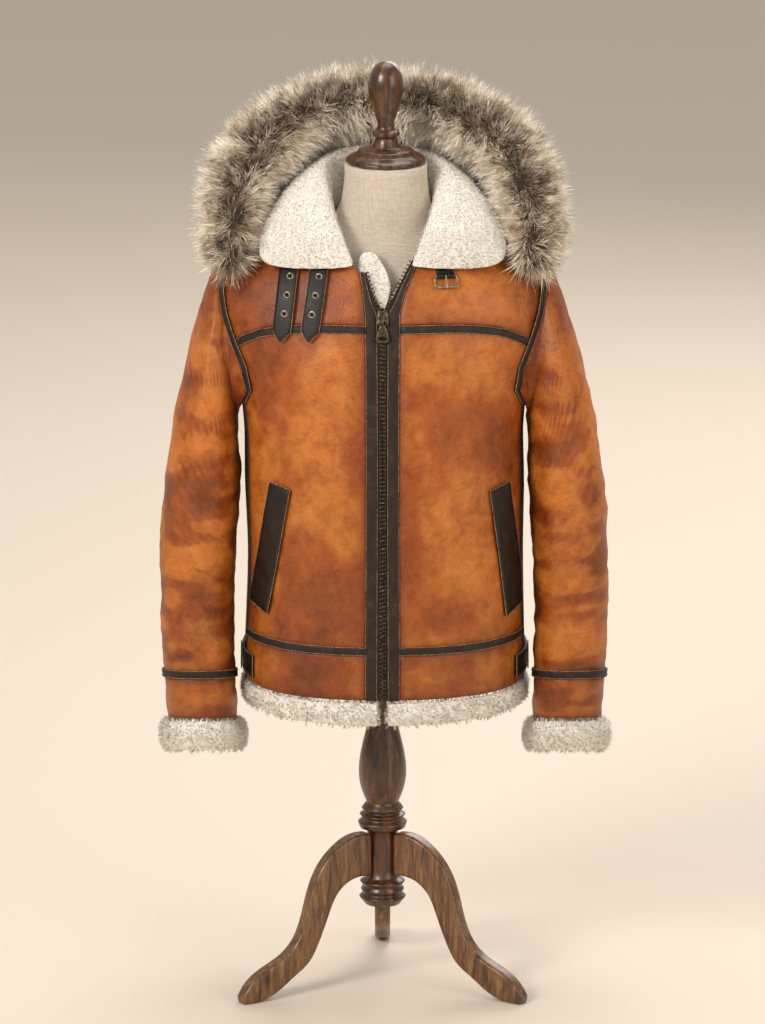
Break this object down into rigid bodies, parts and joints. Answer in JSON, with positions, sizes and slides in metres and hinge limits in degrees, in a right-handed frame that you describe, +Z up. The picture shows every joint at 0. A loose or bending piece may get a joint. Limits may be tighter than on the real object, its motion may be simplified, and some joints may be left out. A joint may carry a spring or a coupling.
{
  "type": "shearling coat on a dress form",
  "caption": "Hip-length shearling coat with a fur-edged hood, zip front and wool cuffs, shown on a limbless dress form with a turned wooden stand.",
  "frame": {"origin": "bottom centre of the bounding box, on the floor under the stand", "axes": "+Z up; the coat's front looks along -Y; the wearer's left is +X"},
  "size_m": [0.6014, 0.3756, 1.251],
  "materials": {
    "tan_shearling": "waxed hide, matt with soft sheen",
    "dark_leather": "smooth satin",
    "cream_wool": "short curled wool",
    "fur": "long soft hair with pale tips",
    "zip_tape": "woven tape",
    "antique_brass": "aged, satin",
    "linen": "plain weave stretched over the form",
    "walnut": "turned and polished"
  },
  "bodies": {
    "coat_and_stand": {"armhole_trim_left": "dark_leather", "armhole_trim_right": "dark_leather", "back_band": "tan_shearling", "back_panel": "tan_shearling", "back_yoke": "tan_shearling", "buckle_strap": "dark_leather", "collar": "cream_wool", "cuff_band_left": "tan_shearling", "cuff_band_right": "tan_shearling", "cuff_trim_left": "dark_leather", "cuff_trim_right": "dark_leather", "cuff_wool_left": "cream_wool", "cuff_wool_right": "cream_wool", "facing_left": "cream_wool", "form_torso": "linen", "front_band_left": "tan_shearling", "front_band_right": "tan_shearling", "front_panel_left": "tan_shearling", "front_panel_right": "tan_shearling", "front_yoke_left": "tan_shearling", "front_yoke_right": "tan_shearling", "fur_ruff": "fur", "hem_trim_back": "dark_leather", "hem_trim_left": "dark_leather", "hem_trim_right": "dark_leather", "hem_wool_left": "cream_wool", "hem_wool_right": "cream_wool", "hood": "tan_shearling", "leg_back": "walnut", "leg_left": "walnut", "leg_right": "walnut", "neck_cap": "walnut", "neck_strap_a": "dark_leather", "neck_strap_b": "dark_leather", "pedestal": "walnut", "placket_left": "dark_leather", "placket_right": "dark_leather", "pocket_welt_left": "dark_leather", "pocket_welt_right": "dark_leather", "side_buckle_left": "antique_brass", "side_buckle_right": "antique_brass", "side_panel_left": "dark_leather", "side_panel_right": "dark_leather", "side_tab_left": "dark_leather", "side_tab_right": "dark_leather", "sleeve_left": "tan_shearling", "sleeve_right": "tan_shearling", "wind_flap": "cream_wool", "yoke_trim_back": "dark_leather", "yoke_trim_left": "dark_leather", "yoke_trim_right": "dark_leather", "zip_slider": "antique_brass", "zip_tape_left": "zip_tape", "zip_tape_right": "zip_tape"},
    "pull": {"zip_pull": "antique_brass"},
    "buckle": {"neck_buckle": "antique_brass"},
    "prong": {"neck_buckle_prong": "antique_brass"}
  },
  "joints": [
    {"name": "zip_pull_swing", "type": "hinge", "parent": "coat_and_stand", "child": "pull", "pos_m": [-0.00334, -0.16233, 0.93184], "axis": [-1, 0, 0], "range_deg": [0, 150]},
    {"name": "neck_buckle_swing", "type": "hinge", "parent": "coat_and_stand", "child": "buckle", "pos_m": [0.07876, -0.12657, 0.98568], "axis": [-0.9791, -0.2033, 0], "range_deg": [0, 60]},
    {"name": "prong_swing", "type": "hinge", "parent": "buckle", "child": "prong", "pos_m": [0.07876, -0.12657, 0.98568], "axis": [-0.9791, -0.2033, 0], "range_deg": [0, 35]}
  ]
}
